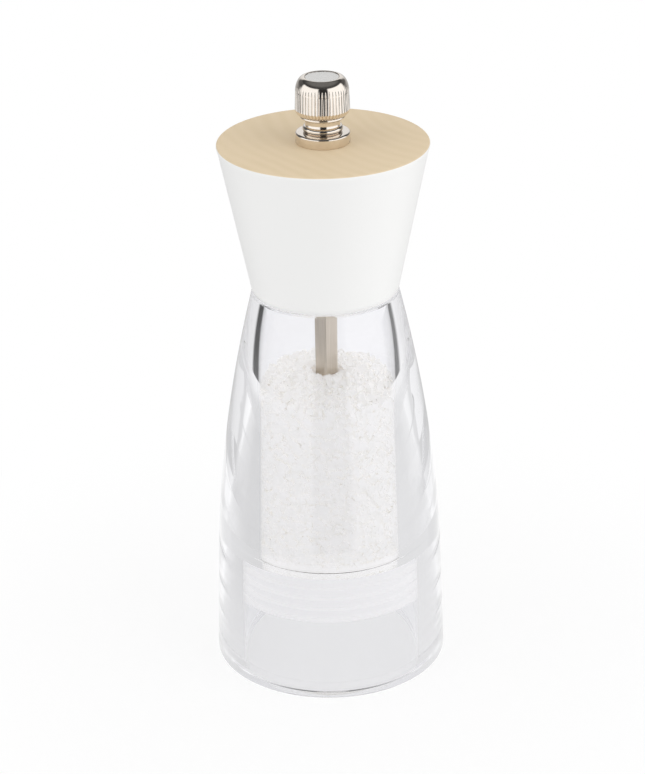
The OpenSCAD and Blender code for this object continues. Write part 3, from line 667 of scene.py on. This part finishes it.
# %% Turn the head
HEAD_EDGE = 0.5
LOW_EDGE = 0.3
PLATE_ROOM = 0.05
head_top_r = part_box("head")[1].x / MM
head_low_r = radii("head", head_low, head_low)[1] + LOW_EDGE
recess_r = radii("head", head_low, head_low)[0]
hole_r = radii("head", head_top, head_top)[0]
pocket_low, pocket_top = heights("drive_plate")
pocket_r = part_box("drive_plate")[1].x / MM + PLATE_ROOM
climb = np.linspace(0, 1, 30)[:, None]
flank = np.hstack([head_low_r + climb * (head_top_r - head_low_r) * (1 - HEAD_EDGE / (head_top - head_low)),
                   head_low + LOW_EDGE + climb * (head_top - head_low - LOW_EDGE - HEAD_EDGE)])
head_outline = np.vstack([
    [(recess_r, head_low), (head_low_r - LOW_EDGE, head_low)],
    flank[:-1],
    arc(head_top_r - HEAD_EDGE, head_top - HEAD_EDGE, HEAD_EDGE, HEAD_EDGE, 0, 90, 6),
    [(hole_r, head_top), (hole_r, pocket_top), (pocket_r, pocket_top), (pocket_r, pocket_low),
     (recess_r, pocket_low)]])
head = turned("beech_head", head_outline, loop=True)
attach(head, "head")
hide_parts("head")

# %% [markdown]
# ## Bare beech and white paint
# The top shows the end of the grain. Growth rings are circles round the heart of the tree, which lay
# outside this piece, so they cross the top as wide shallow arcs, and noise sways them. Pores are small
# dark specks between them, drawn a little coarser than they are, or they would not show. The paint is
# matt, with the faint orange peel of a spray coat.

# %% Grow the grain of the beech
RING = 3.4
WAVER, SWAY = 30, 9
CLOUD = 9
PORE = 0.5
HEART_X, HEART_Y = 62, 36
STRETCH = 0.02
beech, tree, place = begin("beech_and_matt_paint")
heart = add(tree, "Mapping", {
    "Vector": place, "Location": (-HEART_X * MM, -HEART_Y * MM, 0.0), "Scale": (1.0, 1.0, STRETCH)})
waver = add(tree, "TexNoise", {"Vector": heart, "Scale": 1 / (WAVER * MM), "Detail": 4.0})
reach = add(tree, "VectorMath", {0: heart}, operation="LENGTH")
reach = add(tree, "Math", {0: waver, 1: SWAY * MM, 2: reach}, operation="MULTIPLY_ADD")
turns = add(tree, "Math", {0: reach, 1: 2 * math.pi / (RING * MM)}, operation="MULTIPLY")
ring = add(tree, "Math", {0: turns}, operation="SINE")
ring = add(tree, "Math", {0: ring, 1: 0.5, 2: 0.5}, operation="MULTIPLY_ADD")
cloud = add(tree, "TexNoise", {"Vector": heart, "Scale": 1 / (CLOUD * MM), "Detail": 5.0})
depth = add(tree, "Math", {0: ring, 1: cloud}, operation="MULTIPLY")
grain = add(tree, "Mix", {0: depth, 1: linear("#e5d1b1"), 2: linear("#dfcba8")}, data_type="RGBA")
pore = add(tree, "TexVoronoi", {"Vector": place, "Scale": 1 / (PORE * MM)}, take="Distance")
speck = add(tree, "MapRange", {
    "Value": pore, "From Min": 0.05, "From Max": 0.25, "To Min": 0.14, "To Max": 0.0})
grain = add(tree, "Mix", {0: speck, 1: grain, 2: linear("#b2966d")}, data_type="RGBA")
print("growth rings", RING, "mm apart")

# %% Paint the side
PAINT_FULL, PAINT_END = 0.3, 0.15
PEEL = 1.1
height = add(tree, "SeparateXYZ", {0: place}, take="Z")
paint = add(tree, "MapRange", {
    "Value": height, "From Min": (head_top - PAINT_FULL) * MM, "From Max": (head_top - PAINT_END) * MM,
    "To Min": 1.0, "To Max": 0.0})
colour = add(tree, "Mix", {0: paint, 1: grain, 2: linear("#f8f8f7")}, data_type="RGBA")
peel = add(tree, "TexNoise", {"Vector": place, "Scale": 1 / (PEEL * MM), "Detail": 2.0})
texture = add(tree, "Bump", {"Height": peel, "Strength": 0.05, "Distance": 0.08 * MM})
dull = add(tree, "MapRange", {"Value": paint, "To Min": 0.6, "To Max": 0.45})
dress(beech, add(tree, "BsdfPrincipled", {
    "Base Color": colour, "Roughness": dull, "Specular IOR Level": 0.35, "Normal": texture}), head)

# %% [markdown]
# ## The shaft
# A square bar of drawn steel runs from the burrs to the knob. Its edges are eased, its top is cut with a
# thread, and its foot is turned down to a round stub with a groove for a clip. The bar is an eight-sided
# outline carried straight up, in four rows of points: a pole, the low edge, the high edge and a pole.
# The thread is a triangle wave cut into a round bar: the wave has one crest for each pitch of height, and
# it slides up by one pitch for each time round.

# %% Draw the square bar
SHAFT_W = 4.0
SHAFT_BEVEL = 0.35
SHAFT_ANGLE = math.radians(39)
THREAD_L = 20.0
bar_low = heights("cone_burr")[0]
bar_top = shaft_tip - THREAD_L
half, short = SHAFT_W / 2, SHAFT_W / 2 - SHAFT_BEVEL
square = np.array([(half, -short), (half, short), (short, half), (-short, half),
                   (-half, short), (-half, -short), (-short, -half), (short, -half)])
square = square @ np.array([[math.cos(SHAFT_ANGLE), math.sin(SHAFT_ANGLE)],
                            [-math.sin(SHAFT_ANGLE), math.cos(SHAFT_ANGLE)]])
shares = np.array([0, 1, 1, 0])[:, None, None]
levels = np.array([bar_low, bar_low, bar_top, bar_top])[:, None, None]
bar_grid = np.concatenate([shares * square[None], np.broadcast_to(levels, (4, 8, 1))], axis=-1)
bar = smooth(skin("shaft_bar", bar_grid), 20)

# %% Cut the thread
THREAD_PITCH = 0.7
THREAD_DEPTH = 0.38
THREAD_SIDES, THREAD_STEPS = 36, 10
TIP_EDGE = 0.4
a = np.linspace(0, 2 * np.pi, THREAD_SIDES, endpoint=False)
z = np.linspace(bar_top, shaft_tip, int(THREAD_L / THREAD_PITCH * THREAD_STEPS))[:, None]
wave = np.abs(2 * ((z / THREAD_PITCH - a / (2 * np.pi)) % 1) - 1)
crest = np.minimum(SHAFT_W / 2, SHAFT_W / 2 - (z - (shaft_tip - TIP_EDGE)))
r = np.minimum(SHAFT_W / 2 - THREAD_DEPTH * wave, crest)
r[0], r[-1] = 0, 0
thread = smooth(skin("shaft_thread", polar(r, a, z)), 40)

# %% Turn the stub and its groove
GROOVE_R = 1.2
stub_r = radii("shaft", shaft_low, shaft_low)[1]
clip_low, clip_high = heights("end_clip")
stub = turned("shaft_stub", [
    (0, shaft_low), (stub_r, shaft_low), (stub_r, clip_low), (GROOVE_R, clip_low), (GROOVE_R, clip_high),
    (stub_r, clip_high), (stub_r, bar_low), (0, bar_low)], around=48)
for piece in (bar, thread, stub):
    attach(piece, "shaft")
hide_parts("shaft")

# %% [markdown]
# ## Drawn steel
# Steel pulled through a die keeps fine straight scores along its length. They are noise that is drawn out
# along the bar, as the grain of the beech is, and coarser than real scores, which would not show. The bar
# is duller and warmer than plating.

# %% Mix the drawn steel
SCORE = 0.25
drawn_steel, tree, place = begin("drawn_steel")
along = add(tree, "Mapping", {"Vector": place, "Scale": (1.0, 1.0, STRETCH)})
scores = add(tree, "TexNoise", {"Vector": along, "Scale": 1 / (SCORE * MM), "Detail": 4.0})
tone = add(tree, "Mix", {0: scores, 1: linear("#bdb2a3"), 2: linear("#e6ded2")}, data_type="RGBA")
rough = add(tree, "MapRange", {"Value": scores, "To Min": 0.28, "To Max": 0.46})
scored = add(tree, "Bump", {"Height": scores, "Strength": 0.3, "Distance": 0.02 * MM})
dress(drawn_steel, add(tree, "BsdfPrincipled", {
    "Base Color": tone, "Metallic": 1.0, "Roughness": rough, "Normal": scored}), bar, thread, stub)

# %% [markdown]
# ## The knob
# The knob is a nickel-plated nut. From the bottom up it has a flange, a bead, a waist, a lip and a barrel,
# which starts with a rounded foot, narrows a trace upwards and ends in a rounded crown with a recess for
# the disc. All curves are arcs of ellipses, apart from the waist, which is a shallow parabola. Heights
# are counted from the top of the head.

# %% Draw half of the knob
BORE_R, BORE_DEPTH = 2.05, 11.1
FLANGE_H, FLANGE_ROUND, FLANGE_EDGE = 2.5, 0.45, 0.15
BEAD_MID, BEAD_HALF, BEAD_IN = 3.32, 0.72, 0.05
WAIST_R, WAIST_LOW, WAIST_HIGH, WAIST_DIP = 3.87, 4.06, 5.55, 0.1
LIP_R, LIP_MID, LIP_WIDE, LIP_HIGH = 5.07, 6.08, 0.45, 0.43
BARREL_Z, BARREL_TAPER = 7.9, 0.14
FOOT_IN_R, FOOT_HIGH = 4.17, 1.75
CROWN_IN_R, CROWN_HIGH = 4.12, 3.4
RECESS_EDGE, DISC_ROOM = 0.12, 0.05
knob_h = knob_top - head_top
knob_r = radii("knob", head_top + BARREL_Z, knob_top)[1]
flange_r = radii("knob", head_top, head_top + FLANGE_H)[1]
disc_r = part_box("knob_disc")[1].x / MM + DISC_ROOM
disc_low = heights("knob_disc")[0] - head_top
dip = np.linspace(0, 1, 9)
knob_outline = np.vstack([
    [(0, BORE_DEPTH), (BORE_R, BORE_DEPTH), (BORE_R, 0)],
    [(flange_r - FLANGE_EDGE, 0), (flange_r, FLANGE_EDGE)],
    arc(flange_r - FLANGE_ROUND, FLANGE_H - FLANGE_ROUND, FLANGE_ROUND, FLANGE_ROUND, 0, 90, 6),
    arc(WAIST_R - BEAD_IN, BEAD_MID, BEAD_HALF, BEAD_HALF, -75, 85, 10),
    np.column_stack([WAIST_R + WAIST_DIP * (2 * dip - 0.9) ** 2, WAIST_LOW + dip * (WAIST_HIGH - WAIST_LOW)]),
    arc(LIP_R - LIP_WIDE, LIP_MID, LIP_WIDE, LIP_HIGH, -80, 75, 10),
    arc(FOOT_IN_R, BARREL_Z, knob_r - FOOT_IN_R, FOOT_HIGH, -65, 0, 18),
    arc(CROWN_IN_R, knob_h - CROWN_HIGH, knob_r - BARREL_TAPER - CROWN_IN_R, CROWN_HIGH, 0, 90, 24),
    [(disc_r + RECESS_EDGE, knob_h), (disc_r, knob_h - RECESS_EDGE), (disc_r, disc_low), (0, disc_low)]])
print(f"knob: {2 * knob_r:.1f} mm across, {knob_h:.1f} mm high, outline of {len(knob_outline)} points")

# %% [markdown]
# ## Knurling
# Straight knurling is cut by a wheel that stays at one distance from the axis, so a groove is deep where
# the barrel is full and runs out by itself where the crown narrows. The surface does the same: at each
# point the radius is whichever is smaller, the plain outline or the grooved cylinder. A groove is a raised
# cosine, brought to a power that makes it narrow beside broad ribs. On the rounded foot the grooves follow
# the outline instead and fade in over a short height.

# %% Knurl the barrel
KNURLS = 48
KNURL_STEPS = 12
KNURL_DEPTH = 0.34
KNURL_POWER = 5.0
FADE_LOW, FADE_HIGH = 6.54, 6.94
BORE_POINTS = 2
on_barrel = knob_outline[:, 1] > FADE_LOW
on_barrel[:BORE_POINTS] = False
a = np.linspace(0, 2 * np.pi, KNURLS * KNURL_STEPS, endpoint=False)
groove = KNURL_DEPTH * (0.5 + 0.5 * np.cos(KNURLS * a)) ** KNURL_POWER
r = knob_outline[:, :1] + 0 * a
z = knob_outline[:, 1:]
fade = np.clip((z - FADE_LOW) / (FADE_HIGH - FADE_LOW), 0, 1)
rolled = np.where(z < BARREL_Z, r - groove * fade, knob_r - groove)
r = np.where(on_barrel[:, None], np.minimum(r, rolled), r)
knob = smooth(skin("nickel_knob", polar(r, a, head_top + z)), 50)
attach(knob, "knob")
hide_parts("knob")

# %% [markdown]
# ## Nickel
# Bright nickel is a mirror with a slightly warm cast, and handling leaves small dull spots on it. The disc
# in the top is the same metal with a satin finish: circular scratches from the lathe spread its highlight.
# They are drawn coarser than real ones.

# %% Mix the bright nickel
SPOT = 1.5
nickel, tree, place = begin("bright_nickel")
wear = add(tree, "TexNoise", {"Vector": place, "Scale": 1 / (SPOT * MM), "Detail": 3.0})
tone = add(tree, "Mix", {0: wear, 1: linear("#e7ddd3"), 2: linear("#f3ede5")}, data_type="RGBA")
rough = add(tree, "MapRange", {
    "Value": wear, "From Min": 0.3, "From Max": 0.8, "To Min": 0.06, "To Max": 0.14})
dress(nickel, add(tree, "BsdfPrincipled", {"Base Color": tone, "Metallic": 1.0, "Roughness": rough}), knob)

# %% Mix the satin nickel
SCRATCH = 0.12
satin, tree, place = begin("satin_nickel")
flat = add(tree, "Mapping", {"Vector": place, "Scale": (1.0, 1.0, 0.0)})
out = add(tree, "VectorMath", {0: flat}, operation="LENGTH")
lathe = add(tree, "TexNoise", {"W": out, "Scale": 1 / (SCRATCH * MM), "Detail": 2.0}, noise_dimensions="1D")
spun = add(tree, "Bump", {"Height": lathe, "Strength": 0.2, "Distance": 0.01 * MM})
rough = add(tree, "MapRange", {"Value": lathe, "To Min": 0.2, "To Max": 0.4})
dress(satin, add(tree, "BsdfPrincipled", {
    "Base Color": linear("#efeeec"), "Metallic": 1.0, "Roughness": rough, "Normal": spun}),
      nodes["knob_disc"])

# %% [markdown]
# ## Inside the foot
# The grinder is a small stack: a moulded carrier, a spider that guides the shaft, a fixed ceramic ring,
# a turning ceramic cone, and a ring that closes it from below. Their true shapes come packed, so each
# keeps its own and only gets the finish of what it is made of. Moulded plastics differ in how white
# they are and how much they shine. The grain of the mould is too fine to see, so it is drawn coarser.

# %% Mix the plastics and the ceramic
DULL_SPREAD = 0.06


def moulded(name, code, dullness, grit, *pieces):
    """A moulded or fired material: a colour mixed with white by noise with grit mm between its bumps, and a
    roughness that varies about dullness."""
    material, tree, place = begin(name)
    texture = add(tree, "TexNoise", {"Vector": place, "Scale": 1 / (grit * MM), "Detail": 3.0})
    shade = add(tree, "Mix", {0: texture, 1: linear(code), 2: linear("#ffffff")}, data_type="RGBA")
    bump = add(tree, "Bump", {"Height": texture, "Strength": 0.15, "Distance": 0.03 * MM})
    rough = add(tree, "MapRange", {
        "Value": texture, "To Min": dullness - DULL_SPREAD, "To Max": dullness + DULL_SPREAD})
    dress(material, add(tree, "BsdfPrincipled", {"Base Color": shade, "Roughness": rough, "Normal": bump}),
          *(nodes[piece] for piece in pieces))


moulded("natural_polypropylene", "#f8f8f6", 0.3, 0.8, "burr_housing", "retaining_ring")
moulded("soft_elastomer", "#fbfaf8", 0.4, 0.5, "ribbed_seal")
moulded("white_acetal", "#f2f2ee", 0.35, 0.6, "bearing_spider", "burr_hub")
moulded("white_nylon", "#f3f3ef", 0.42, 0.6, "slip_ring")
moulded("fired_alumina", "#f3f0e8", 0.5, 0.3, "ring_burr", "cone_burr")

# %% [markdown]
# ## The spring
# A compression spring with closed ends: its first and last turns lie flat, and those between climb evenly.
# It is a round wire carried along a helix, a circle that rises as it turns: each row of the grid is one
# circle of the wire's section, and a pole at each end closes the tube.

# %% Wind the spring
SPRING_TURNS = 5
TURN_STEPS = 48
WIRE_D = 0.8
WIRE_SIDES = 16
spring_low, spring_high = heights("spring")
coil_r = radii("spring", spring_low, spring_high)[1] - WIRE_D / 2
coil_rise = spring_high - spring_low - WIRE_D
wound = np.linspace(0, SPRING_TURNS, SPRING_TURNS * TURN_STEPS + 1)
lift = np.interp(wound, [0, 1, SPRING_TURNS - 1, SPRING_TURNS], [0, WIRE_D, coil_rise - WIRE_D, coil_rise])
a = 2 * np.pi * wound[:, None]
b = np.linspace(0, 2 * np.pi, WIRE_SIDES, endpoint=False)
r = coil_r + WIRE_D / 2 * np.cos(b)
z = spring_low + WIRE_D / 2 + lift[:, None] - WIRE_D / 2 * np.sin(b)
wire = polar(r, a, z)
caps = np.repeat(wire[[0, -1]].mean(axis=1, keepdims=True), WIRE_SIDES, axis=1)
spring = smooth(skin("coil_spring", np.concatenate([caps[:1], wire, caps[1:]])), 50)
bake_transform(spring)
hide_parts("spring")

# %% [markdown]
# ## Small metal parts
# Washers, clip and plate are stamped from strip, and the spring is drawn wire. They differ in tone: the
# clip is blued by its hardening, and the two screws are plain brass.

# %% Mix the metals
def metal(name, dark, light, patch, *pieces):
    """A plain metal: two tones mixed by noise with patch mm between spots, and duller where it is lighter."""
    material, tree, place = begin(name)
    mottle = add(tree, "TexNoise", {"Vector": place, "Scale": 1 / (patch * MM), "Detail": 4.0})
    tone = add(tree, "Mix", {0: mottle, 1: linear(dark), 2: linear(light)}, data_type="RGBA")
    rough = add(tree, "MapRange", {"Value": mottle, "To Min": 0.25, "To Max": 0.45})
    shader = add(tree, "BsdfPrincipled", {"Base Color": tone, "Metallic": 1.0, "Roughness": rough})
    dress(material, shader, *pieces)


metal("stamped_steel", "#c3c5c7", "#e2e3e4", 0.6,
      nodes["thrust_washer"], nodes["end_washer"], nodes["drive_plate"])
metal("spring_wire", "#b9bcc0", "#dadce0", 0.3, spring)
metal("blued_spring_steel", "#6c7078", "#8f949c", 0.4, nodes["end_clip"])
metal("plain_brass", "#c2a262", "#dcc285", 0.4, nodes["plate_screws"])
